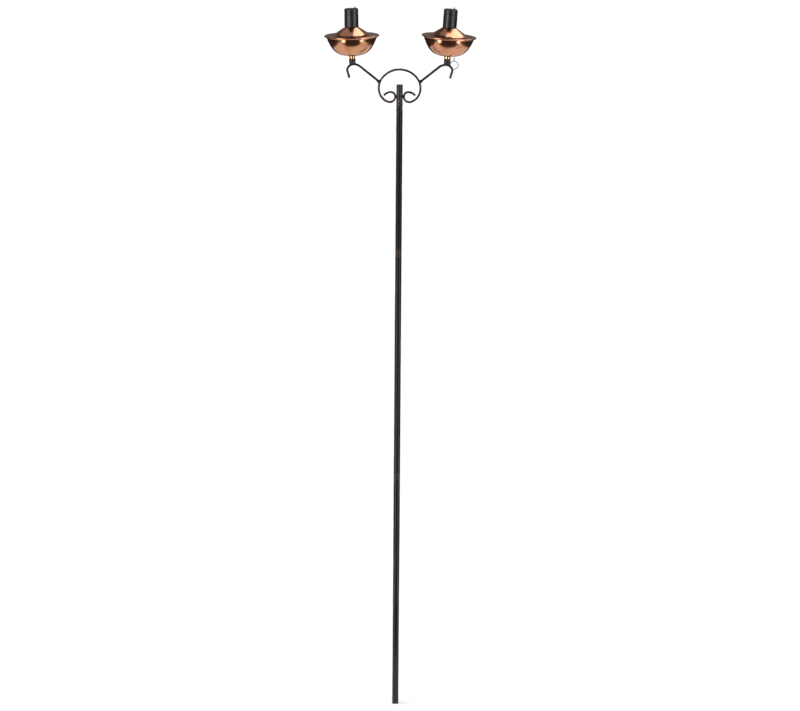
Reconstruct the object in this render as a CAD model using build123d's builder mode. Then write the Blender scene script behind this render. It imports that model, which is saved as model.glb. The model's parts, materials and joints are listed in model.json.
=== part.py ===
"""Double-headed garden torch: three-section pole, swivelling scroll bracket, two lift-off
oil lamps with wick burners, snuffer caps on link chains. Millimetres, +Z up, origin on the
pole axis at the ground end."""
import os
from math import asin, atan2, cos, degrees, hypot, pi, radians, sin, sqrt

from build123d import *

os.makedirs("parts", exist_ok=True)

# ---- driving dimensions ----
pole_od = 19.05
tube_wall = 1.0
lower_len = 673.0  # shown lengths of the three sections and the post
middle_len = 679.0
upper_len = 447.0
post_len = 73.0
insert_len = 48.0  # reduced end inside the section below
lip = 1.075  # rolled mouth of each lower tube, past its wall
plug_h = 2.2

slide_fit = 0.05  # radial, tube in tube
press_gap = 0.02  # radial, pressed parts
seat_gap = 0.3  # between faces that only rest

scroll_rod = 6.35
arm_rod = 7.0
scroll_rise = 46.5  # scroll's crown above the post's top
socket_rise = 63.5  # socket's foot above the post's top
socket_len = 15.5
socket_wall = 2.25
head_offset = 142.5  # socket axis from pole axis
lean_left = 1.6  # degrees outward
lean_right = 3.6

rim_r = 82.5
sheet = 0.8
spigot_r = 7.4
neck_step = 2.4  # neck's radius past its spigot's
neck_h = 8.0  # bowl foot above the socket's mouth
flange_rise = 4.4  # flange above the bowl's last bend
mouth_r = 15.4  # filler mouth in the lid
mouth_rise = 32.35  # above the lid's flange
cone_rise = 29.25
cone_foot = 9.65
plate_edge = 2.9  # burner plate past the mouth
cap_gap = 1.7  # radial, snuffer cap round the plate
cap_wall = 1.0
cap_h = 54.8
cap_seat = 0.35  # cap's foot above the cone
wick_r = 6.3

link_wire = 1.2
link_play = 0.3
link_pitch = 5.45
link_count = 38
link_width = 3.4
eye_r = 2.7  # eyelet on the cap
eye_wire = 1.5
ring_r = 12.1
ring_wire = 2.3

# ---- heights and radii that follow ----
joint_low = lower_len
joint_high = joint_low + middle_len
post_foot = joint_high + upper_len
post_top = post_foot + post_len
scroll_top = post_top + scroll_rise
socket_low = post_top + socket_rise
bore_r = pole_od / 2 - tube_wall
swage_r = bore_r - slide_fit
lip_r = pole_od / 2 + lip
socket_top = socket_low + socket_len
socket_r = spigot_r + slide_fit + socket_wall
neck_r = spigot_r + neck_step
cap_r = mouth_r + plate_edge + cap_gap + cap_wall


# ---- pole sections: tubes with a rolled mouth above and a reduced end below ----
def tube_profile(low, high, reduced, mouth):
    """Half section of one tube in the XZ plane, drawn as a closed outline."""
    r = pole_od / 2
    step = 5.0
    with BuildSketch(Plane.XZ) as half:
        with BuildLine():
            if reduced:
                foot = low - insert_len
                inner = swage_r - tube_wall
                outer_pts = [
                    (inner, foot),
                    (swage_r - 0.6, foot),
                    (swage_r, foot + 1.2),
                    (swage_r, low - 0.6),
                    (r, low + step),
                ]
                inner_low = [(bore_r, low + step + 1.0), (inner, low + 0.4), (inner, foot)]
            else:
                outer_pts = [(bore_r, low), (r, low)]
                inner_low = [(bore_r, low)]
            if mouth:
                Polyline(*outer_pts, (r, high - 5.0))
                Spline(
                    (r, high - 5.0),
                    (lip_r, high - 2.0),
                    (lip_r - 0.55, high - 0.35),
                    (bore_r + 0.9, high),
                    tangents=((0, 1), (-1, 0)),
                )
                RadiusArc((bore_r + 0.9, high), (bore_r, high - 0.9), 0.9)
                Polyline((bore_r, high - 0.9), *inner_low)
            else:
                Polyline(*outer_pts, (r, high - 0.5), (r - 0.5, high), (bore_r, high), *inner_low)
        make_face()
    return half.sketch


with BuildPart() as pole_lower:
    add(tube_profile(plug_h, joint_low, False, True))
    revolve(axis=Axis.Z)
pole_lower.part.label = "pole_lower"

with BuildPart() as pole_middle:
    add(tube_profile(joint_low + seat_gap, joint_high, True, True))
    revolve(axis=Axis.Z)
pole_middle.part.label = "pole_middle"

with BuildPart() as pole_upper:
    add(tube_profile(joint_high + seat_gap, post_foot, True, True))
    revolve(axis=Axis.Z)
pole_upper.part.label = "pole_upper"

with BuildPart() as ground_plug:
    with BuildSketch(Plane.XY):
        Circle(pole_od / 2)
    extrude(amount=plug_h)
    fillet(ground_plug.edges().group_by(Axis.Z)[0], 0.8)
    with BuildSketch(Plane.XY.offset(plug_h)):
        Circle(bore_r - press_gap)
        Circle(bore_r - 2.2, mode=Mode.SUBTRACT)
    extrude(amount=16.0)
    for level in (5.0, 10.0):
        with BuildSketch(Plane.XY.offset(plug_h + level)):
            Circle(bore_r + 1)
            Circle(bore_r - 0.6, mode=Mode.SUBTRACT)
        extrude(amount=2.0, mode=Mode.SUBTRACT)
ground_plug.part.label = "ground_plug"

# ---- bracket: post, domed cap, bent-rod scroll, two arms, two sockets ----
with BuildPart() as bracket_post:
    add(tube_profile(post_foot + seat_gap, post_top, True, False))
    revolve(axis=Axis.Z)
bracket_post.part.label = "bracket_post"

with BuildPart() as post_cap:
    with BuildSketch(Plane.XZ):
        with BuildLine():
            Polyline(
                (0, post_top - 8.0),
                (bore_r - press_gap, post_top - 8.0),
                (bore_r - press_gap, post_top),
                (pole_od / 2, post_top),
            )
            RadiusArc((pole_od / 2, post_top), (pole_od / 2 - 1.0, post_top + 1.0), -1.0)
            Polyline((pole_od / 2 - 1.0, post_top + 1.0), (0, post_top + 1.6), (0, post_top - 8.0))
        make_face()
    revolve(axis=Axis.Z)
post_cap.part.label = "post_cap"

# one bent rod: crown, shoulder, flank, foot, in to the post and over into a short curl
crown_turn = 53.81
drawn_reach = 12.7  # where bends with a 65.76 crown come in to
scroll_spread = (pole_od + scroll_rod) / 2 - drawn_reach
scroll_bends = [
    (65.76 + scroll_spread / sin(radians(crown_turn)), crown_turn),
    (49.06, 64.05),
    (38.88, 44.82),
    (16.31, 123.45),
    (13.13, 78.90),
    (28.50, 45.89),
]
scroll_touch = scroll_top - 81.5  # height where the scroll meets the post


def scroll_half(side):
    """Centre line of one half, drawn from the crown outward to the curl's tip."""
    at = Vector(0, 0, scroll_top)
    heading = 0.0
    with BuildLine() as path:
        for radius, turn in scroll_bends:
            centre = at + Vector(side * radius * sin(radians(heading)), 0, -radius * cos(radians(heading)))
            points = []
            for share in (0.5, 1.0):
                h = radians(heading - turn * share)
                points.append(centre + Vector(-side * radius * sin(h), 0, radius * cos(h)))
            ThreePointArc(at, points[0], points[1])
            at = points[1]
            heading -= turn
    return path.line


def swept_rod(path, diameter):
    with BuildPart() as rod:
        with BuildSketch(Plane(origin=path @ 0, z_dir=path % 0)):
            Circle(diameter / 2)
        sweep(path=path)
        rims = rod.edges().filter_by(lambda edge: abs(edge.length - pi * diameter) < 0.1)
        fillet(rims.sort_by_distance(path @ 1)[0], diameter * 0.18)
    return rod.part


with BuildPart() as scroll_ring:
    for side in (1, -1):
        add(swept_rod(scroll_half(side), scroll_rod))
scroll_ring.part.label = "scroll_ring"


shoulder_x = 60.4 + scroll_spread  # where an arm leaves the scroll
shoulder_z = scroll_top - 37.9
arch_r = 31.2
arch_top = (head_offset - 4.491, socket_low - 2.0)


def arm_path(side):
    """Straight run up from the scroll, over under the socket and down into a tail."""
    across = arch_top[0] - shoulder_x
    rise = arch_top[1] - arch_r - shoulder_z
    span = hypot(across, rise)
    slope = degrees(atan2(rise, across) + asin(arch_r / span))
    run = sqrt(span**2 - arch_r**2)
    at = Vector(side * shoulder_x, 0, shoulder_z)
    with BuildLine() as path:
        end = at + Vector(side * run * cos(radians(slope)), 0, run * sin(radians(slope)))
        Line(at, end)
        at = end
        heading = slope
        for radius, turn in ((arch_r, slope), (19.9, 59.7), (14.5, 46.4)):
            centre = at + Vector(side * radius * sin(radians(heading)), 0, -radius * cos(radians(heading)))
            points = []
            for share in (0.5, 1.0):
                h = radians(heading - turn * share)
                points.append(centre + Vector(-side * radius * sin(h), 0, radius * cos(h)))
            ThreePointArc(at, points[0], points[1])
            at = points[1]
            heading -= turn
        end = at + Vector(side * 20.7 * cos(radians(heading)), 0, 20.7 * sin(radians(heading)))
        Line(at, end)
    return path.line


def arm(side):
    with BuildPart() as piece:
        add(swept_rod(arm_path(side), arm_rod))
        add(scroll_ring.part, mode=Mode.SUBTRACT)
    return piece


def head_frame(side):
    """Frame at the socket's mouth, its Z along the leaned lamp axis."""
    lean = lean_right if side > 0 else -lean_left
    return Plane(
        origin=(side * head_offset, 0, socket_top),
        x_dir=(cos(radians(lean)), 0, -sin(radians(lean))),
        z_dir=(sin(radians(lean)), 0, cos(radians(lean))),
    )


def turned(side, outline):
    """A turned piece about the lamp axis of one side."""
    with BuildPart() as piece:
        add(outline())
        revolve(axis=Axis.Z)
    return head_frame(side).location * piece.part


def socket_outline():
    r = socket_r
    low = socket_low - socket_top
    bore = spigot_r + slide_fit
    with BuildSketch(Plane.XZ) as half:
        with BuildLine():
            Polyline((0, low), (r - 1.0, low))
            RadiusArc((r - 1.0, low), (r, low + 1.0), -1.0)
            Polyline((r, low + 1.0), (r, -4.2))
            Spline((r, -4.2), (r + 0.7, -2.2), (r + 0.1, -0.5), (r - 1.0, 0), tangents=((0, 1), (-1, 0)))
            Polyline((r - 1.0, 0), (bore + 0.6, 0), (bore, -0.6), (bore, low + 3.0))
            Polyline((bore, low + 3.0), (0, low + 3.0), (0, low))
        make_face()
    return half.sketch


arms = {}
sockets = {}
for side, name in ((-1, "left"), (1, "right")):
    built_arm = arm(side)
    built_arm.part.label = "arm_" + name
    arms[name] = built_arm.part
    with BuildPart() as socket:
        add(turned(side, socket_outline))
        add(built_arm.part, mode=Mode.SUBTRACT)
    socket.part.label = "socket_" + name
    sockets[name] = socket.part

with BuildPart() as bracket_welds:
    for side in (-1, 1):
        with Locations((side * (pole_od / 2 + 1.475), 0, scroll_touch)):
            Sphere(scroll_rod / 2 + 1.425)
        with Locations((side * (shoulder_x + 2.2), 0, shoulder_z + 1.8)):
            Sphere(arm_rod / 2 + 1.9)
        with Locations((side * (head_offset - 1.0), 0, socket_low + 0.4)):
            Cylinder(socket_r - 2.5, 4.4)
    add(bracket_post.part, mode=Mode.SUBTRACT)
    with Locations((0, 0, scroll_touch)):
        Cylinder(bore_r, 12, mode=Mode.SUBTRACT)
    add(scroll_ring.part, mode=Mode.SUBTRACT)
    for name in ("left", "right"):
        add(arms[name], mode=Mode.SUBTRACT)
        add(sockets[name], mode=Mode.SUBTRACT)
bracket_welds.part.label = "bracket_welds"


# ---- lamps: every height is measured up the lamp axis from the socket's mouth ----
def arc_chain(start, heading, bends):
    """Tangent arcs in the sketch plane; a positive turn bends upward."""
    at = start
    for radius, turn in bends:
        edge = JernArc(at, (cos(radians(heading)), sin(radians(heading))), radius, turn)
        at = edge @ 1
        heading += turn
    return at, heading


bowl_scale = rim_r / 82.5  # bends are drawn for an 82.5 rim
bowl_bends = (
    (146.6 * bowl_scale, 11.06),
    (49.5 * bowl_scale, 43.6),
    (121.35 * bowl_scale, 17.36),
)


def bowl_height():
    """Height of the last bend's end above the bowl's foot."""
    height = 0.0
    heading = 0.0
    for radius, turn in bowl_bends:
        height += radius * (cos(radians(heading)) - cos(radians(heading + turn)))
        heading += turn
    return height


flange_z = neck_h + bowl_height() + flange_rise
lid_z = flange_z + sheet + 0.05
mouth_top = lid_z + mouth_rise
cone_r = 46.0 * bowl_scale
cone_slope = (cone_rise - cone_foot) / (cone_r - mouth_r - sheet)
cap_foot = lid_z + cone_rise - (cap_r - cap_wall - mouth_r - sheet) * cone_slope + cap_seat


def bowl_outline():
    with BuildSketch(Plane.XZ) as half:
        with BuildLine():
            foot = (0.0, neck_h)
            end, heading = arc_chain(foot, 0.0, bowl_bends)
            Spline(
                end,
                (rim_r - 4.9, flange_z - 1.0),
                (rim_r - 1.5, flange_z),
                tangents=((cos(radians(heading)), sin(radians(heading))), (1, 0)),
            )
            Line((rim_r - 1.5, flange_z), (rim_r - 1.5, flange_z + sheet))
            Spline(
                (rim_r - 1.5, flange_z + sheet),
                (rim_r - 5.6, flange_z - 0.25),
                (end.X - sheet * sin(radians(heading)), end.Y + sheet * cos(radians(heading))),
                tangents=((-1, 0), (-cos(radians(heading)), -sin(radians(heading)))),
            )
            inner_start = (end.X - sheet * sin(radians(heading)), end.Y + sheet * cos(radians(heading)))
            at = inner_start
            back = heading + 180.0
            for radius, turn in reversed(bowl_bends):
                edge = JernArc(at, (cos(radians(back)), sin(radians(back))), radius - sheet, -turn)
                at = edge @ 1
                back -= turn
            Line(at, foot)
        make_face()
    return half.sketch


def lid_outline():
    """Filler mouth, steep cone, dished flange and an edge folded under the bowl's flange."""
    flange = lid_z
    wall = mouth_r + sheet
    hem_r = rim_r - 2.6
    cone_z = flange + cone_foot
    slope_in = (cone_r - wall, cone_foot - cone_rise)
    slope_out = (wall - cone_r, cone_rise - cone_foot)
    with BuildSketch(Plane.XZ) as half:
        with BuildLine():
            Polyline((mouth_r, mouth_top), (mouth_r + 0.4, mouth_top), (wall, mouth_top - 0.4))
            Line((wall, mouth_top - 0.4), (wall, flange + cone_rise))
            Line((wall, flange + cone_rise), (cone_r, cone_z))
            Spline(
                (cone_r, cone_z),
                (56.0 * bowl_scale, flange + 3.65),
                (66.0 * bowl_scale, flange + 0.35),
                (rim_r - 7.5, flange + sheet + 0.1),
                (rim_r - 1.6, flange + sheet + 0.9),
                tangents=(slope_in, (1, 0.1)),
            )
            ThreePointArc(
                (rim_r - 1.6, flange + sheet + 0.9),
                (rim_r, flange - 0.45),
                (rim_r - 1.6, flange - 2.3),
            )
            Polyline(
                (rim_r - 1.6, flange - 2.3),
                (hem_r, flange - 2.3),
                (hem_r, flange - sheet - 0.6),
                (rim_r - 1.4, flange - sheet - 0.6),
                (rim_r - 1.4, flange),
                (rim_r - 6.3, flange),
            )
            Spline(
                (rim_r - 6.3, flange),
                (65.8 * bowl_scale, flange + 0.35 - sheet),
                (55.7 * bowl_scale, flange + 3.65 - sheet * 1.1),
                (cone_r - 0.44, cone_z - 0.67),
                tangents=((-1, 0), slope_out),
            )
            Line((cone_r - 0.44, cone_z - 0.67), (mouth_r, flange + cone_rise - 0.45))
            Line((mouth_r, flange + cone_rise - 0.45), (mouth_r, mouth_top))
        make_face()
    return half.sketch


def neck_outline(shoulder):
    """Neck tube under the bowl, stepping down to the spigot that drops into the socket."""
    low = socket_low - socket_top + 3.6
    with BuildSketch(Plane.XZ) as half:
        with BuildLine():
            Polyline((spigot_r - 1.0, low), (spigot_r - 0.5, low), (spigot_r, low + 0.8))
            Line((spigot_r, low + 0.8), (spigot_r, shoulder - 0.1))
            Spline(
                (spigot_r, shoulder - 0.1),
                (neck_r - 1.0, shoulder + 0.7),
                (neck_r, shoulder + 1.8),
                tangents=((1, 0.3), (0, 1)),
            )
            Polyline(
                (neck_r, shoulder + 1.8),
                (neck_r, neck_h - 0.4),
                (spigot_r - 1.0, neck_h - 0.4),
                (spigot_r - 1.0, low),
            )
        make_face()
    return half.sketch


def collar_outline():
    """Brass burner plate: knurl-edged disc on the mouth with a skirt inside it."""
    base = mouth_top + 0.3
    skirt = mouth_r - slide_fit
    plate = mouth_r + plate_edge
    with BuildSketch(Plane.XZ) as half:
        with BuildLine():
            Polyline(
                (wick_r + 1.4, base - 9.0),
                (skirt - 1.4, base - 9.0),
                (skirt, base - 7.6),
                (skirt, base),
                (plate - 0.3, base),
                (plate, base + 0.6),
                (plate, base + 2.4),
                (plate - 0.6, base + 3.2),
                (wick_r + 3.4, base + 4.4),
                (wick_r + 1.4, base + 4.4),
                (wick_r + 1.4, base + 1.6),
                (skirt - 1.2, base + 1.2),
                (skirt - 1.2, base - 7.4),
                (wick_r + 1.4, base - 7.4),
                (wick_r + 1.4, base - 9.0),
            )
        make_face()
    return half.sketch


def tube_outline():
    """Wick tube with a beaded tip, held in the burner plate."""
    outer = wick_r + 1.4 - press_gap
    inner = wick_r + 0.5
    low = mouth_top - 22.0
    high = mouth_top + 20.0
    with BuildSketch(Plane.XZ) as half:
        with BuildLine():
            Polyline((inner, low), (outer, low), (outer, high - 3.0))
            ThreePointArc((outer, high - 3.0), (outer + 0.8, high - 1.4), (outer, high))
            Polyline((outer, high), (inner, high), (inner, low))
        make_face()
    return half.sketch


def wick_outline():
    high = mouth_top + 25.0
    with BuildSketch(Plane.XZ) as half:
        with BuildLine():
            Polyline((0, 26.0), (wick_r - 0.8, 26.0), (wick_r, 27.0), (wick_r, high - 1.5))
            RadiusArc((wick_r, high - 1.5), (wick_r - 1.5, high), -1.5)
            Polyline((wick_r - 1.5, high), (0, high), (0, 26.0))
        make_face()
    return half.sketch


def cap_outline():
    """Snuffer cap: plain drum open below, rounded crown, one pressed groove."""
    top = cap_foot + cap_h
    r = cap_r
    groove = top - 13.0
    with BuildSketch(Plane.XZ) as half:
        with BuildLine():
            Polyline((r - cap_wall, cap_foot), (r - 0.3, cap_foot), (r, cap_foot + 0.4), (r, groove - 1.6))
            ThreePointArc((r, groove - 1.6), (r - 0.7, groove), (r, groove + 1.6))
            Line((r, groove + 1.6), (r, top - 2.6))
            RadiusArc((r, top - 2.6), (r - 2.6, top), -2.6)
            Polyline((r - 2.6, top), (0, top), (0, top - cap_wall), (r - 1.7 - cap_wall, top - cap_wall))
            RadiusArc((r - 1.7 - cap_wall, top - cap_wall), (r - cap_wall, top - 1.7 - cap_wall), 1.7)
            Line((r - cap_wall, top - 1.7 - cap_wall), (r - cap_wall, groove + 2.4))
            inner = r - cap_wall
            ThreePointArc((inner, groove + 2.4), (inner - 0.6, groove), (inner, groove - 2.4))
            Line((r - cap_wall, groove - 2.4), (r - cap_wall, cap_foot))
        make_face()
    return half.sketch


# ---- snuffer chains: closed wire links along a smooth draped line ----
def drape(side):
    """Path of the chain, from the eyelet over the back of the lamp to the hanging ring."""
    local = head_frame(side)
    top = cap_foot + cap_h
    if side > 0:
        spans = [(11.0, 3.0, top + 3.2), (11.1, 12.0, top + 3.0), (11.2, 21.0, top + 0.3)]
        spans += [(11.6, 30.0, 138.5), (12.6, 44.0, 118.0), (13.8, 60.0, 96.0)]
        spans += [(15.0, 74.0, 79.8), (15.9, 84.0, 71.0), (16.6, 87.2, 60.0)]
    else:
        spans = [(11.0, 3.0, top + 3.2), (11.1, 12.0, top + 3.0), (11.4, 21.4, top + 0.2)]
        spans += [(12.2, 29.6, top - 12.0), (13.4, 36.0, top - 32.0), (15.2, 43.6, top - 51.0)]
        spans += [(19.5, 50.0, 85.0), (22.6, 54.6, 78.8), (19.6, 59.0, 74.6), (10.0, 61.8, 73.2)]
        spans += [(-3.0, 63.2, 73.2), (-15.0, 65.0, 73.4), (-23.6, 69.4, 74.4), (-29.0, 75.2, 75.0)]
        spans += [(-32.8, 80.4, 72.6), (-34.6, 83.0, 66.5), (-35.1, 83.6, 58.0)]
    points = [local.from_local_coords(span) for span in spans]
    hang = points[-1]
    for drop in (14.0, 34.0, 64.0, 104.0, 150.0):
        points.append(Vector(hang.X, hang.Y, hang.Z - drop))
    with BuildLine() as line:
        Spline(*points)
    return line.edges()[0]


def joints_on(path, first):
    """Points one pitch apart along the path, measured straight across."""
    length = path.length
    found = [path @ first]
    u = first
    while len(found) < link_count + 1:
        low = u
        high = u + 2.0 * link_pitch / length
        for _ in range(30):
            middle = (low + high) / 2
            if (path @ middle - found[-1]).length < link_pitch:
                low = middle
            else:
                high = middle
        u = low
        found.append(path @ u)
    return found


def link(frame, length, width, wire):
    """One closed oval link lying in the frame's XY plane."""
    with BuildPart() as piece:
        straight = (length - width) / 2
        half = width / 2
        with BuildLine(frame) as loop:
            Line((-straight, half), (straight, half))
            ThreePointArc((straight, half), (straight + half, 0), (straight, -half))
            Line((straight, -half), (-straight, -half))
            ThreePointArc((-straight, -half), (-straight - half, 0), (-straight, half))
        with BuildSketch(Plane(origin=loop.line @ 0, z_dir=loop.line % 0)):
            Circle(wire / 2)
        sweep(path=loop.line)
    return piece.part


def chain(side):
    """The links, turned a quarter turn each, and where the last one holds the ring."""
    path = drape(side)
    knots = joints_on(path, 0.006)
    reach = link_pitch + link_wire + link_play
    pieces = []
    across = Vector(1, 0, 0)
    eye_normal = None
    for i in range(link_count):
        along = (knots[i + 1] - knots[i]).normalized()
        across = (across - along * across.dot(along)).normalized()
        other = along.cross(across)
        eye_normal = eye_normal or across
        normal = across if i % 2 else other
        middle = (knots[i] + knots[i + 1]) / 2
        last = i == link_count - 1
        frame = Plane(origin=middle, x_dir=along, z_dir=normal)
        pieces.append(link(frame, reach, link_width if not last else link_width + 1.0, link_wire))
    return pieces, knots, eye_normal, other


for side, name in ((-1, "left"), (1, "right")):
    pieces = {
        "bowl": turned(side, bowl_outline),
        "lid": turned(side, lid_outline),
        "neck": turned(side, lambda: neck_outline(3.4 if side < 0 else 0.7)),
        "burner_plate": turned(side, collar_outline),
        "wick_tube": turned(side, tube_outline),
        "wick": turned(side, wick_outline),
        "snuffer_cap": turned(side, cap_outline),
    }
    links, knots, eye_normal, ring_normal = chain(side)
    local = head_frame(side)
    first_along = (knots[1] - knots[0]).normalized()
    inset = (link_wire + link_play) / 2  # a link's end wire past its joint
    hold = (link_wire + eye_wire) / 2 + 0.1
    eye_centre = knots[0] - first_along * (inset + eye_r - hold)
    crown = cap_foot + cap_h + 0.05
    foot = local.to_local_coords(eye_centre)
    with BuildPart() as eyelet:
        pad = local.from_local_coords((foot.X, foot.Y, crown))
        with BuildSketch(Plane(origin=pad, z_dir=local.z_dir)):
            Circle(3.2)
        extrude(amount=0.9)
        with Locations(Plane(origin=eye_centre, z_dir=eye_normal)):
            Torus(eye_r, eye_wire / 2)
        below = local.from_local_coords((foot.X, foot.Y, crown - 12))
        with BuildSketch(Plane(origin=below, z_dir=local.z_dir)):
            Circle(12)
        extrude(amount=12, mode=Mode.SUBTRACT)
    with BuildPart() as chain_part:
        for piece in links:
            add(piece)
    end_along = (knots[-1] - knots[-2]).normalized()
    hold = (link_wire + ring_wire) / 2 + 0.1
    ring_centre = knots[-1] + end_along * (inset + ring_r - hold)
    with BuildPart() as ring:
        with Locations(Plane(origin=ring_centre, z_dir=ring_normal)):
            Torus(ring_r, ring_wire / 2)
    pieces["snuffer_eyelet"] = eyelet.part
    pieces["snuffer_chain"] = chain_part.part
    pieces["snuffer_ring"] = ring.part
    print(name, "ring centre", ring_centre, "normal", ring_normal)
    for part_name, piece in pieces.items():
        piece.label = part_name + "_" + name
        export_step(piece, "parts/" + part_name + "_" + name + ".step")

pole = (pole_lower, pole_middle, pole_upper, ground_plug)
for piece in pole + (bracket_post, post_cap, scroll_ring, bracket_welds):
    export_step(piece.part, "parts/" + piece.part.label + ".step")
for name in ("left", "right"):
    export_step(arms[name], "parts/arm_" + name + ".step")
    export_step(sockets[name], "parts/socket_" + name + ".step")
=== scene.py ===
"""Looks of the double-headed garden torch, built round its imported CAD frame. Metres."""

import json
import math
import random

import bmesh
import bpy
from mathutils import Matrix, Vector


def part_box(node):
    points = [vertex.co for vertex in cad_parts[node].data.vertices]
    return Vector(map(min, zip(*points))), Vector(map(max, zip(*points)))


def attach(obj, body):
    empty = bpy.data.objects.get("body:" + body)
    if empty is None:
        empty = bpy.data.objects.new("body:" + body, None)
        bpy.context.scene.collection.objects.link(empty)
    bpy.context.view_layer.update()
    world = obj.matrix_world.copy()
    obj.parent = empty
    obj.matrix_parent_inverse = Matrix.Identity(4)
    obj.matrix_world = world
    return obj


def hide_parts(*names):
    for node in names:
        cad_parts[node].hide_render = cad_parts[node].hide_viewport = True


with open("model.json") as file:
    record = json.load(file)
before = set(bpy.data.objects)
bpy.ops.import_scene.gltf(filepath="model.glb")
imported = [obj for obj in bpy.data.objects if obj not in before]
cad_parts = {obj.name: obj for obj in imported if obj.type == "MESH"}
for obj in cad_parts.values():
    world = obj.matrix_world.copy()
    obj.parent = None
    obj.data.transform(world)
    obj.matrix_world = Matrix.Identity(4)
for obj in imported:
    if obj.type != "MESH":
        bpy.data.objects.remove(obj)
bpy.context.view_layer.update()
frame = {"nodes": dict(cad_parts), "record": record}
NODES = frame["nodes"]
SCENE = bpy.context.scene
SIDES = ("left", "right")


# ---- where the lamps stand, read from the frame ----
def joint(name):
    return next(j for j in frame["record"]["behaviour"]["joints"] if j["name"] == name)


def lamp_matrix(name):
    """Frame of one lamp: Z up its leaned axis, origin at the foot of its bowl."""
    axis = Vector(joint("lamp_lift_" + name)["axis"]).normalized()
    low, high = (Vector(c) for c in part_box("wick_tube_" + name))
    on_axis = (low + high) / 2
    foot_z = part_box("bowl_" + name)[0][2]
    foot = on_axis + axis * ((foot_z - on_axis.z) / axis.z)
    across = Vector((1, 0, 0))
    across = (across - axis * across.dot(axis)).normalized()
    back = axis.cross(across)
    m = Matrix((across, back, axis)).transposed().to_4x4()
    m.translation = foot
    return m


LAMP = {name: lamp_matrix(name) for name in SIDES}

TUBE_MOUTHS = [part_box(name)[1][2] for name in ("pole_lower", "pole_middle", "pole_upper")]
PAINTED_SHEEN_REACH = 0.026  # how far above a mouth the brownish highlight is painted


# ---- materials ----
class Nodes:
    """Short hand for wiring one material's nodes."""

    def __init__(self, name):
        self.material = bpy.data.materials.new(name)
        self.material.use_nodes = True
        self.tree = self.material.node_tree
        self.shader = self.tree.nodes["Principled BSDF"]
        self.coords = self.add("ShaderNodeTexCoord").outputs["Object"]

    def add(self, kind, **values):
        node = self.tree.nodes.new(kind)
        for key, value in values.items():
            if hasattr(node, key):
                setattr(node, key, value)
            else:
                node.inputs[key.replace("_", " ")].default_value = value
        return node

    def link(self, out, into):
        self.tree.links.new(out, into)

    def set(self, **values):
        for key, value in values.items():
            self.shader.inputs[key.replace("_", " ")].default_value = value

    def placed(self, matrix=None, scale=(1, 1, 1)):
        """Object coordinates in a part's own frame, then scaled."""
        mapping = self.add("ShaderNodeMapping")
        mapping.vector_type = "TEXTURE"
        source = self.coords
        if matrix is not None:
            mapping.inputs["Location"].default_value = matrix.translation
            mapping.inputs["Rotation"].default_value = matrix.to_euler()
            self.link(source, mapping.inputs["Vector"])
            source = mapping.outputs["Vector"]
            mapping = self.add("ShaderNodeMapping")
        mapping.vector_type = "POINT"
        mapping.inputs["Scale"].default_value = scale
        self.link(source, mapping.inputs["Vector"])
        return mapping.outputs["Vector"]

    def noise(self, vector, scale, detail=4.0, rough=0.55, distortion=0.0):
        node = self.add("ShaderNodeTexNoise", Scale=scale, Detail=detail, Roughness=rough)
        node.inputs["Distortion"].default_value = distortion
        self.link(vector, node.inputs["Vector"])
        return node.outputs["Fac"]

    def ramp(self, value, stops, interpolation="LINEAR"):
        node = self.add("ShaderNodeValToRGB")
        node.color_ramp.interpolation = interpolation
        elements = node.color_ramp.elements
        while len(elements) < len(stops):
            elements.new(0.5)
        for element, (at, colour) in zip(elements, stops):
            element.position = at
            element.color = (*colour, 1.0) if len(colour) == 3 else colour
        self.link(value, node.inputs["Fac"])
        return node.outputs["Color"]

    def span(self, value, low, high, from_low=0.0, from_high=1.0):
        node = self.add("ShaderNodeMapRange")
        limits = {"From Min": from_low, "From Max": from_high, "To Min": low, "To Max": high}
        for key, number in limits.items():
            node.inputs[key].default_value = number
        self.link(value, node.inputs["Value"])
        return node.outputs["Result"]

    def bump(self, height, strength, distance, before=None):
        node = self.add("ShaderNodeBump", Strength=strength, Distance=distance)
        self.link(height, node.inputs["Height"])
        if before is not None:
            self.link(before, node.inputs["Normal"])
        return node.outputs["Normal"]


def copper(name, matrix, bright, deep):
    """Polished spun copper: faint lathe rings, patchy warmth and a thin clear lacquer."""
    n = Nodes(name)
    own = n.placed(matrix)
    patches = n.noise(own, 14.0, 5.0, 0.6, 0.4)
    fine = n.noise(own, 160.0, 3.0)
    n.link(n.ramp(patches, [(0.30, deep), (0.55, bright), (0.80, bright)]), n.shader.inputs["Base Color"])
    n.link(n.span(fine, 0.10, 0.20), n.shader.inputs["Roughness"])
    rings = n.add("ShaderNodeTexWave", Scale=210.0, Distortion=1.2, Detail=2.0)
    rings.wave_type = "RINGS"
    rings.rings_direction = "Z"
    n.link(own, rings.inputs["Vector"])
    normal = n.bump(rings.outputs["Fac"], 0.035, 0.0004)
    n.link(n.bump(patches, 0.10, 0.002, normal), n.shader.inputs["Normal"])
    n.set(Metallic=1.0, Coat_Weight=0.25, Coat_Roughness=0.08)
    return n.material


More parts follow.
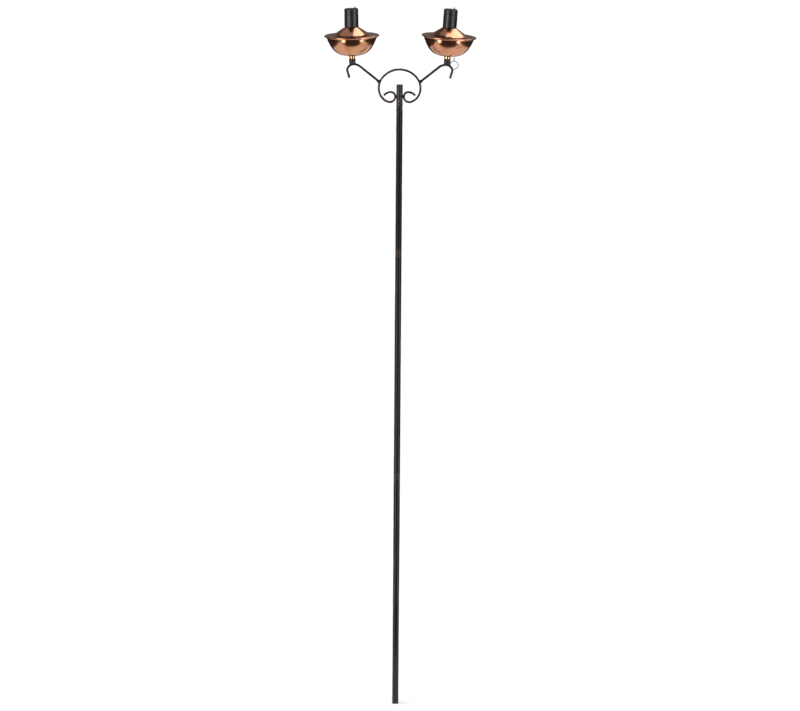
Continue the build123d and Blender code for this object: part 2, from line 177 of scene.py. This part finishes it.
def black_enamel():
    """Gloss black tube, a little orange peel, and a patchy brownish highlight painted into the colour just
    above each joint's mouth.
    """
    n = Nodes("black_enamel")
    patches = n.noise(n.placed(scale=(1, 1, 0.25)), 9.0, 4.0)
    scuff_and_sheen_noise = n.noise(n.placed(scale=(1, 1, 0.12)), 300.0, 4.0, 0.7)
    peel = n.noise(n.coords, 420.0, 2.0)
    height = n.add("ShaderNodeSeparateXYZ")
    n.link(n.coords, height.inputs["Vector"])
    colour = n.ramp(patches, [(0.35, (0.0035, 0.0033, 0.0036)), (0.7, (0.0080, 0.0065, 0.0060))])
    # painted highlight: a brown band just above each mouth, broken up by the scuff noise
    for mouth in TUBE_MOUTHS:
        band = n.add("ShaderNodeMath", operation="COMPARE")
        n.link(height.outputs["Z"], band.inputs[0])
        band.inputs[1].default_value = mouth + PAINTED_SHEEN_REACH / 2
        band.inputs[2].default_value = PAINTED_SHEEN_REACH / 2
        painted_sheen = n.add("ShaderNodeMath", operation="MULTIPLY")
        n.link(band.outputs[0], painted_sheen.inputs[0])
        n.link(n.span(scuff_and_sheen_noise, 0.0, 0.9, 0.40, 0.66), painted_sheen.inputs[1])
        mix = n.add("ShaderNodeMix", data_type="RGBA")
        n.link(painted_sheen.outputs[0], mix.inputs["Factor"])
        n.link(colour, mix.inputs[6])
        mix.inputs[7].default_value = (0.075, 0.036, 0.024, 1)
        colour = mix.outputs[2]
    n.link(colour, n.shader.inputs["Base Color"])
    n.link(n.span(scuff_and_sheen_noise, 0.15, 0.30, 0.3, 0.8), n.shader.inputs["Roughness"])
    n.link(n.bump(peel, 0.08, 0.0003), n.shader.inputs["Normal"])
    n.set(Specular_IOR_Level=0.5, Coat_Weight=0.4, Coat_Roughness=0.06)
    return n.material


def rubbed_bronze(name, wear_low, grain, high_spot, dent=0.55):
    """Hammered black with another metal showing through on the high spots."""
    n = Nodes(name)
    dents = n.add("ShaderNodeTexVoronoi", Scale=grain)
    dents.feature = "SMOOTH_F1"
    n.link(n.coords, dents.inputs["Vector"])
    wear = n.noise(n.coords, 90.0, 6.0, 0.7, 0.6)
    patches = n.noise(n.coords, 22.0, 3.0)
    mixed = n.add("ShaderNodeMath", operation="MULTIPLY")
    n.link(n.span(wear, 0.0, 1.0, wear_low, wear_low + 0.14), mixed.inputs[0])
    n.link(n.span(patches, 0.25, 1.0, 0.35, 0.6), mixed.inputs[1])
    stops = [(0.0, (0.006, 0.005, 0.005)), (0.45, tuple(0.2 * c for c in high_spot)), (0.95, high_spot)]
    n.link(n.ramp(mixed.outputs[0], stops), n.shader.inputs["Base Color"])
    n.link(n.span(mixed.outputs[0], 0.15, 0.95), n.shader.inputs["Metallic"])
    n.link(n.span(wear, 0.22, 0.42), n.shader.inputs["Roughness"])
    normal = n.bump(dents.outputs["Distance"], dent, 0.0008)
    n.link(n.bump(wear, 0.15, 0.0004, normal), n.shader.inputs["Normal"])
    n.set(Coat_Weight=0.35, Coat_Roughness=0.15)
    return n.material


def satin_black():
    n = Nodes("satin_black")
    grain = n.noise(n.coords, 900.0, 2.0)
    patches = n.noise(n.coords, 30.0, 3.0)
    stops = [(0.3, (0.009, 0.009, 0.010)), (0.8, (0.020, 0.019, 0.019))]
    n.link(n.ramp(patches, stops), n.shader.inputs["Base Color"])
    n.link(n.span(patches, 0.33, 0.43), n.shader.inputs["Roughness"])
    n.link(n.bump(grain, 0.12, 0.0002), n.shader.inputs["Normal"])
    n.set(Coat_Weight=0.15, Coat_Roughness=0.3)
    return n.material


def plain_metal(name, dark, light, rough, scale=260.0):
    n = Nodes(name)
    cloud = n.noise(n.coords, scale, 4.0)
    broad = n.noise(n.coords, scale / 9.0, 3.0)
    n.link(n.ramp(broad, [(0.3, dark), (0.7, light)]), n.shader.inputs["Base Color"])
    n.link(n.span(cloud, rough * 0.75, rough * 1.35), n.shader.inputs["Roughness"])
    n.link(n.bump(cloud, 0.12, 0.0002), n.shader.inputs["Normal"])
    n.set(Metallic=1.0)
    return n.material


def rubber():
    n = Nodes("black_plastic")
    grain = n.noise(n.coords, 500.0, 3.0)
    stops = [(0.3, (0.008, 0.008, 0.008)), (0.8, (0.022, 0.021, 0.020))]
    n.link(n.ramp(grain, stops), n.shader.inputs["Base Color"])
    n.link(n.span(grain, 0.5, 0.7), n.shader.inputs["Roughness"])
    n.link(n.bump(grain, 0.2, 0.0002), n.shader.inputs["Normal"])
    return n.material


def wick_fibre():
    n = Nodes("wick_fibre")
    fuzz = n.noise(n.placed(scale=(1, 1, 0.2)), 1500.0, 4.0)
    soot = n.noise(n.coords, 60.0, 3.0)
    stops = [(0.35, (0.42, 0.38, 0.31)), (0.65, (0.80, 0.76, 0.66))]
    n.link(n.ramp(soot, stops), n.shader.inputs["Base Color"])
    n.link(n.span(fuzz, 0.75, 0.95), n.shader.inputs["Roughness"])
    n.link(n.bump(fuzz, 0.5, 0.0004), n.shader.inputs["Normal"])
    return n.material


COPPER_BRIGHT = (0.90, 0.45, 0.27)
COPPER_DEEP = (0.56, 0.21, 0.11)
# left neck: copper given a gold cast, a painted reflection of copper in copper; right neck: the copper's
# own tone
NECK_TINTS_WITH_PAINTED_REFLECTION = {
    "left": ((0.86, 0.46, 0.15), (0.62, 0.29, 0.09)),
    "right": ((0.90, 0.55, 0.32), (0.78, 0.42, 0.22)),
}
MATERIALS = {
    "black_tube": black_enamel(),
    "black_plastic": rubber(),
    "rubbed_bronze": rubbed_bronze("rubbed_bronze", 0.50, 170.0, (0.46, 0.20, 0.11)),
    "rubbed_post": rubbed_bronze("rubbed_post", 0.49, 240.0, (0.42, 0.36, 0.34), 0.25),
    "satin_black": satin_black(),
    "weld_metal": plain_metal("weld_metal", (0.02, 0.015, 0.012), (0.10, 0.06, 0.04), 0.45),
    "brass": plain_metal("brass", (0.70, 0.48, 0.18), (0.88, 0.66, 0.30), 0.22),
    "wick_fibre": wick_fibre(),
    "steel_wire": plain_metal("steel_wire", (0.055, 0.055, 0.045), (0.16, 0.155, 0.13), 0.28),
}
for side_name, matrix in LAMP.items():
    shell, neck = "copper_" + side_name, "copper_brass_" + side_name
    MATERIALS[shell] = copper(shell, matrix, COPPER_BRIGHT, COPPER_DEEP)
    MATERIALS[neck] = copper(neck, matrix, *NECK_TINTS_WITH_PAINTED_REFLECTION[side_name])


def material_for(node, slot):
    if node in ("bracket_post", "post_cap"):
        return MATERIALS["rubbed_post"]
    side = node.rsplit("_", 1)[-1]
    return MATERIALS.get(slot) or MATERIALS[slot + "_" + side]


for entry in frame["record"]["subparts"]:
    node = NODES[entry["node"]]
    finish = material_for(entry["node"], entry["material_slot"])
    node.data.materials.clear()
    node.data.materials.append(finish)
    for face in node.data.polygons:
        face.material_index = 0


# ---- surface work on the CAD pieces: smooth shading and real relief ----
SHARP = math.radians(28)
STRAND_SHARP = math.radians(80)
RELIEF = {
    # node stem: (texture kind, grain in metres, depth in metres)
    "scroll_ring": ("VORONOI", 0.0045, 0.00035),
    "arm": ("VORONOI", 0.0045, 0.00035),
    "bracket_welds": ("CLOUDS", 0.0025, 0.0012),
    "bowl": ("CLOUDS", 0.050, 0.0012),
    "lid": ("CLOUDS", 0.030, 0.0004),
}


def relief_for(name):
    return next((value for stem, value in RELIEF.items() if name.startswith(stem)), None)


def work_surface(name, obj):
    obj.data.shade_smooth()
    obj.data.set_sharp_from_angle(angle=SHARP)
    relief = relief_for(name)
    if relief is None:
        return
    kind, grain, depth = relief
    texture = bpy.data.textures.new("relief_" + name, kind)
    texture.noise_scale = grain
    displace = obj.modifiers.new("relief", "DISPLACE")
    displace.texture = texture
    displace.texture_coords = "LOCAL"
    displace.strength = depth
    displace.mid_level = 0.5


for node_name, node_object in NODES.items():
    work_surface(node_name, node_object)


# ---- pieces the CAD leaves plain ----
STRANDS = 10  # in each direction round the braid
BRAID_PITCH = 0.030
STRAND_DEPTH = 0.0006
TIP_REACH = 0.0022  # singed end of the wick
FRAY_WIRES = 90
FRAY_RADIUS = 0.00016
FRAY_LEAN = 0.0009
KNURL_TEETH = 72
KNURL_LOW, KNURL_HIGH = 0.0038, 0.0020  # below the burner plate's top
KNURL_DEPTH = 0.00035
SOLDER_RADIUS = 0.0010


def add_mesh(name, bm, body, material, sharp=SHARP):
    mesh = bpy.data.meshes.new(name)
    bmesh.ops.recalc_face_normals(bm, faces=bm.faces)
    bm.to_mesh(mesh)
    bm.free()
    mesh.materials.append(material)
    mesh.shade_smooth()
    mesh.set_sharp_from_angle(angle=sharp)
    obj = bpy.data.objects.new(name, mesh)
    SCENE.collection.objects.link(obj)
    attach(obj, body)
    return obj


def lathe(bm, matrix, radius_at, heights, around, closed_ends=True):
    """Skin round the matrix's Z axis; radius_at(height, angle) gives the surface."""
    rings = []
    for height in heights:
        ring = []
        for k in range(around):
            angle = 2 * math.pi * k / around
            r = radius_at(height, angle)
            ring.append(bm.verts.new(matrix @ Vector((r * math.cos(angle), r * math.sin(angle), height))))
        rings.append(ring)
    for low, high in zip(rings, rings[1:]):
        for k in range(around):
            after = (k + 1) % around
            bm.faces.new((low[k], low[after], high[after], high[k]))
    if closed_ends:
        bm.faces.new(list(reversed(rings[0])))
        bm.faces.new(rings[-1])
    return rings


def part_frame(node, name):
    """The lamp's frame moved up its axis to the foot of one turned node, and the node's height."""
    inverse = LAMP[name].inverted()
    heights = [(inverse @ v.co).z for v in NODES[node].data.vertices]
    radii = [(inverse @ v.co).to_2d().length for v in NODES[node].data.vertices]
    return LAMP[name] @ Matrix.Translation((0, 0, min(heights))), max(heights) - min(heights), max(radii)


def braided_wick(name):
    """Round braid of glass fibre: two crossing sets of strands, tip singed and frayed."""
    foot, height, radius = part_frame("wick_" + name, name)
    turn = 2 * math.pi / BRAID_PITCH
    rnd = random.Random(7 if name == "left" else 8)

    def surface(h, angle):
        a = math.sin(STRANDS * angle + turn * h * STRANDS / 4)
        b = math.sin(STRANDS * angle - turn * h * STRANDS / 4)
        r = radius - STRAND_DEPTH + STRAND_DEPTH * max(a, b)
        into_tip = max(0.0, h - (height - TIP_REACH)) / TIP_REACH
        return r * (1 - 0.16 * into_tip ** 2) - 0.0002 * rnd.random() * into_tip

    bm = bmesh.new()
    count = 260
    heights = [height * k / count for k in range(count + 1)]
    lathe(bm, foot, surface, heights, 120)
    fibre, body = MATERIALS["wick_fibre"], "wick_body_" + name
    piece = add_mesh("braid_wick_" + name, bm, body, fibre, STRAND_SHARP)
    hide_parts("wick_" + name)
    fray = bmesh.new()
    for _ in range(FRAY_WIRES):
        angle = rnd.uniform(0, 2 * math.pi)
        r = radius * 0.78 * math.sqrt(rnd.random())
        lean = Vector((rnd.uniform(-1, 1), rnd.uniform(-1, 1), 0)) * FRAY_LEAN
        base = Vector((r * math.cos(angle), r * math.sin(angle), height - 0.0016))
        tip = base + Vector((0, 0, rnd.uniform(0.0014, 0.0024))) + lean
        ends = []
        for centre, thick in ((base, FRAY_RADIUS), (tip, FRAY_RADIUS * 0.5)):
            ring = []
            for k in range(4):
                t = k * math.pi / 2
                ring.append(fray.verts.new(foot @ (centre + Vector((math.cos(t), math.sin(t), 0)) * thick)))
            ends.append(ring)
        for k in range(4):
            after = (k + 1) % 4
            fray.faces.new((ends[0][k], ends[0][after], ends[1][after], ends[1][k]))
        fray.faces.new(list(reversed(ends[0])))
        fray.faces.new(ends[1])
    add_mesh("frayed_tip_" + name, fray, body, fibre)


def knurled_band(name):
    """Knurling round the burner plate's edge, for a grip when the burner is pulled."""
    foot, height, radius = part_frame("burner_plate_" + name, name)
    low, high = height - KNURL_LOW, height - KNURL_HIGH
    bm = bmesh.new()

    def surface(h, angle):
        edge = min(h - low, high - h)
        tooth = 0.5 + 0.5 * math.cos(KNURL_TEETH * angle)
        return radius + 0.00004 + KNURL_DEPTH * tooth * min(1.0, edge / 0.0003)

    heights = [low + (high - low) * k / 6 for k in range(7)]
    outer = lathe(bm, foot, surface, heights, KNURL_TEETH * 6, closed_ends=False)
    inner = lathe(bm, foot, lambda h, angle: radius - 0.0006, heights, KNURL_TEETH * 6, closed_ends=False)
    for a, b in ((outer[0], inner[0]), (outer[-1], inner[-1])):
        for k in range(len(a)):
            after = (k + 1) % len(a)
            bm.faces.new((a[k], a[after], b[after], b[k]))
    add_mesh("knurl_" + name, bm, "burner_" + name, MATERIALS["brass"])


def solder_seam(name):
    """Ring of solder where the neck meets the bowl, uneven as a hand-run seam is."""
    foot, height, radius = part_frame("neck_" + name, name)
    rnd = random.Random(21 if name == "left" else 22)
    waves = [(rnd.randint(3, 11), rnd.uniform(0, 6.28), rnd.uniform(0.2, 1.0)) for _ in range(6)]
    bm = bmesh.new()
    around, section = 96, 12
    rings = []
    for k in range(around):
        angle = 2 * math.pi * k / around
        swell = 1 + 0.10 * sum(w * math.sin(f * angle + p) for f, p, w in waves)
        size = SOLDER_RADIUS * swell
        ring = []
        for j in range(section):
            t = 2 * math.pi * j / section
            r = radius + 0.0002 + size * math.cos(t)
            z = height + size * 0.7 * math.sin(t)
            ring.append(bm.verts.new(foot @ Vector((r * math.cos(angle), r * math.sin(angle), z))))
        rings.append(ring)
    for k in range(around):
        a, b = rings[k], rings[(k + 1) % around]
        for j in range(section):
            after = (j + 1) % section
            bm.faces.new((a[j], a[after], b[after], b[j]))
    # the left seam shares the left neck's gold cast, a painted reflection
    add_mesh("solder_" + name, bm, "lamp_" + name, MATERIALS["copper_brass_" + name])


for side_name in SIDES:
    braided_wick(side_name)
    knurled_band(side_name)
    solder_seam(side_name)


# ---- floor, light and camera ----
FLOOR_SIZE = 400.0
CAM_LENS = 1200.0
SENSOR = 36.0
SHOWN_WIDTH = 2.4  # metres across the picture at the pole
ELEVATION = math.radians(7.5)
ROLL = math.radians(0.41)
AIM = Vector((0.0069, 0.0, 1.0543))


def build_floor():
    mesh = bpy.data.meshes.new("floor")
    bm = bmesh.new()
    bmesh.ops.create_grid(bm, x_segments=2, y_segments=2, size=FLOOR_SIZE)
    bm.to_mesh(mesh)
    bm.free()
    floor = bpy.data.objects.new("floor", mesh)
    floor.location.z = -0.0005
    SCENE.collection.objects.link(floor)
    n = Nodes("floor_paper")
    cloud = n.noise(n.coords, 0.8, 3.0)
    stops = [(0.3, (0.90, 0.90, 0.90)), (0.7, (0.92, 0.92, 0.92))]
    n.link(n.ramp(cloud, stops), n.shader.inputs["Base Color"])
    n.set(Roughness=0.9, Specular_IOR_Level=0.1)
    mesh.materials.append(n.material)


def build_world():
    """Pale even room light; the cards below decide what the metal mirrors."""
    world = bpy.data.worlds.new("studio")
    SCENE.world = world
    world.use_nodes = True
    tree = world.node_tree
    background = tree.nodes["Background"]
    coords = tree.nodes.new("ShaderNodeTexCoord")
    sweep = tree.nodes.new("ShaderNodeTexGradient")
    ramp = tree.nodes.new("ShaderNodeValToRGB")
    ramp.color_ramp.elements[0].color = (0.80, 0.80, 0.81, 1)
    ramp.color_ramp.elements[1].color = (0.86, 0.85, 0.84, 1)
    tree.links.new(coords.outputs["Generated"], sweep.inputs["Vector"])
    tree.links.new(sweep.outputs["Fac"], ramp.inputs["Fac"])
    tree.links.new(ramp.outputs["Color"], background.inputs["Color"])
    background.inputs["Strength"].default_value = 0.45


# Cards that only reflections see: (name, centre, look-at, width, height, strength, tint)
CARDS = [
    ("strip_left_high", (-1.55, -1.40, 2.12), (0, 0, 2.12), 1.25, 1.00, 5.6, (1.0, 0.97, 0.93)),
    ("strip_right_high", (1.65, -1.30, 2.12), (0, 0, 2.12), 1.10, 1.00, 5.0, (1.0, 0.97, 0.93)),
    ("strip_left_mid", (-1.55, -1.40, 1.37), (0, 0, 1.37), 0.60, 0.50, 1.3, (1.0, 0.97, 0.93)),
    ("strip_right_mid", (1.65, -1.30, 1.37), (0, 0, 1.37), 0.60, 0.50, 1.0, (1.0, 0.97, 0.93)),
    ("strip_left_low", (-1.55, -1.40, 0.46), (0, 0, 0.46), 0.60, 1.32, 4.2, (1.0, 0.97, 0.93)),
    ("strip_right_low", (1.65, -1.30, 0.46), (0, 0, 0.46), 0.55, 1.32, 3.6, (1.0, 0.97, 0.93)),
    ("top_left", (-1.15, 0.9, 4.3), (0, 0, 2.0), 1.4, 2.8, 0.42, (1.0, 0.96, 0.92)),
    ("top_right", (1.25, 1.0, 4.3), (0, 0, 2.0), 1.9, 2.8, 2.30, (1.0, 0.96, 0.92)),
    ("behind", (0.0, 3.4, 3.0), (0, 0, 2.2), 6.5, 2.6, 0.15, (1.0, 0.97, 0.95)),
]
# Reach of the white floor that the bowls mirror: to the sides, front and back.
WHITE_SIDE = 2.3
WHITE_FRONT = -1.0
WHITE_BACK = 3.2
DARK_REACH = 60.0
DARK_LIFT = 0.002  # above the paper, so that the mirrored floors win
WHITE_LIFT = 0.003


def glow(name, colour, strength):
    """Emission that fades a little across its card."""
    material = bpy.data.materials.new(name)
    material.use_nodes = True
    tree = material.node_tree
    tree.nodes.clear()
    out = tree.nodes.new("ShaderNodeOutputMaterial")
    emission = tree.nodes.new("ShaderNodeEmission")
    coords = tree.nodes.new("ShaderNodeTexCoord")
    cloud = tree.nodes.new("ShaderNodeTexNoise")
    cloud.inputs["Scale"].default_value = 1.3
    ramp = tree.nodes.new("ShaderNodeValToRGB")
    ramp.color_ramp.elements[0].color = (*(0.82 * c for c in colour), 1)
    ramp.color_ramp.elements[1].color = (*colour, 1)
    emission.inputs["Strength"].default_value = strength
    tree.links.new(coords.outputs["Object"], cloud.inputs["Vector"])
    tree.links.new(cloud.outputs["Fac"], ramp.inputs["Fac"])
    tree.links.new(ramp.outputs["Color"], emission.inputs["Color"])
    tree.links.new(emission.outputs["Emission"], out.inputs["Surface"])
    return material


def mirror_only(name, bm, material):
    mesh = bpy.data.meshes.new(name)
    bm.to_mesh(mesh)
    bm.free()
    mesh.materials.append(material)
    obj = bpy.data.objects.new(name, mesh)
    SCENE.collection.objects.link(obj)
    obj.visible_camera = False
    obj.visible_diffuse = False
    obj.visible_transmission = False
    obj.visible_volume_scatter = False
    obj.visible_shadow = False
    return obj


def corners(left, front, right, back):
    return [(left, front), (right, front), (right, back), (left, back)]


def build_cards():
    for name, centre, look_at, width, height, strength, tint in CARDS:
        bm = bmesh.new()
        bmesh.ops.create_grid(bm, x_segments=4, y_segments=4, size=0.5)
        card = mirror_only(name, bm, glow("glow_" + name, tint, strength))
        card.scale = (width, height, 1)
        card.location = centre
        card.rotation_euler = (Vector(look_at) - Vector(centre)).to_track_quat("Z", "Y").to_euler()
    dark_floor = bmesh.new()
    hole = corners(-WHITE_SIDE, WHITE_FRONT, WHITE_SIDE, WHITE_BACK)
    edge = corners(-DARK_REACH, -DARK_REACH, DARK_REACH, DARK_REACH)
    inner = [dark_floor.verts.new((x, y, DARK_LIFT)) for x, y in hole]
    outer = [dark_floor.verts.new((x, y, DARK_LIFT)) for x, y in edge]
    for k in range(4):
        after = (k + 1) % 4
        dark_floor.faces.new((inner[k], outer[k], outer[after], inner[after]))
    white_floor = bmesh.new()
    white_floor.faces.new([white_floor.verts.new((x, y, WHITE_LIFT)) for x, y in hole])
    mirror_only("white_floor", white_floor, glow("glow_white_floor", (1.0, 0.94, 0.88), 0.74))
    mirror_only("dark_floor", dark_floor, glow("glow_dark_floor", (0.035, 0.028, 0.024), 1.0))
    dome = bmesh.new()
    bmesh.ops.create_uvsphere(dome, u_segments=48, v_segments=24, radius=DARK_REACH)
    mirror_only("dark_room", dome, glow("glow_dark_room", (0.045, 0.042, 0.040), 1.0))


def build_lights():
    sun = bpy.data.lights.new("sky_sun", "SUN")
    sun.energy = 2.85
    sun.angle = math.radians(60)
    high = bpy.data.objects.new("sky_sun", sun)
    high.rotation_euler = (math.radians(20), math.radians(-14), 0)
    high.visible_glossy = False
    SCENE.collection.objects.link(high)
    build_cards()


def build_camera():
    data = bpy.data.cameras.new("camera")
    data.lens = CAM_LENS
    data.sensor_width = SENSOR
    data.clip_start = 0.5
    data.clip_end = 1000.0
    camera = bpy.data.objects.new("camera", data)
    distance = SHOWN_WIDTH * CAM_LENS / SENSOR
    away = Vector((0, -math.cos(ELEVATION), math.sin(ELEVATION)))
    camera.location = AIM + away * distance
    facing = (-away).to_track_quat("-Z", "Y")
    camera.rotation_mode = "QUATERNION"
    camera.rotation_quaternion = facing @ Matrix.Rotation(ROLL, 3, "Z").to_quaternion()
    SCENE.collection.objects.link(camera)
    SCENE.camera = camera


build_floor()
build_world()
build_lights()
build_camera()
SCENE.view_settings.view_transform = "Standard"
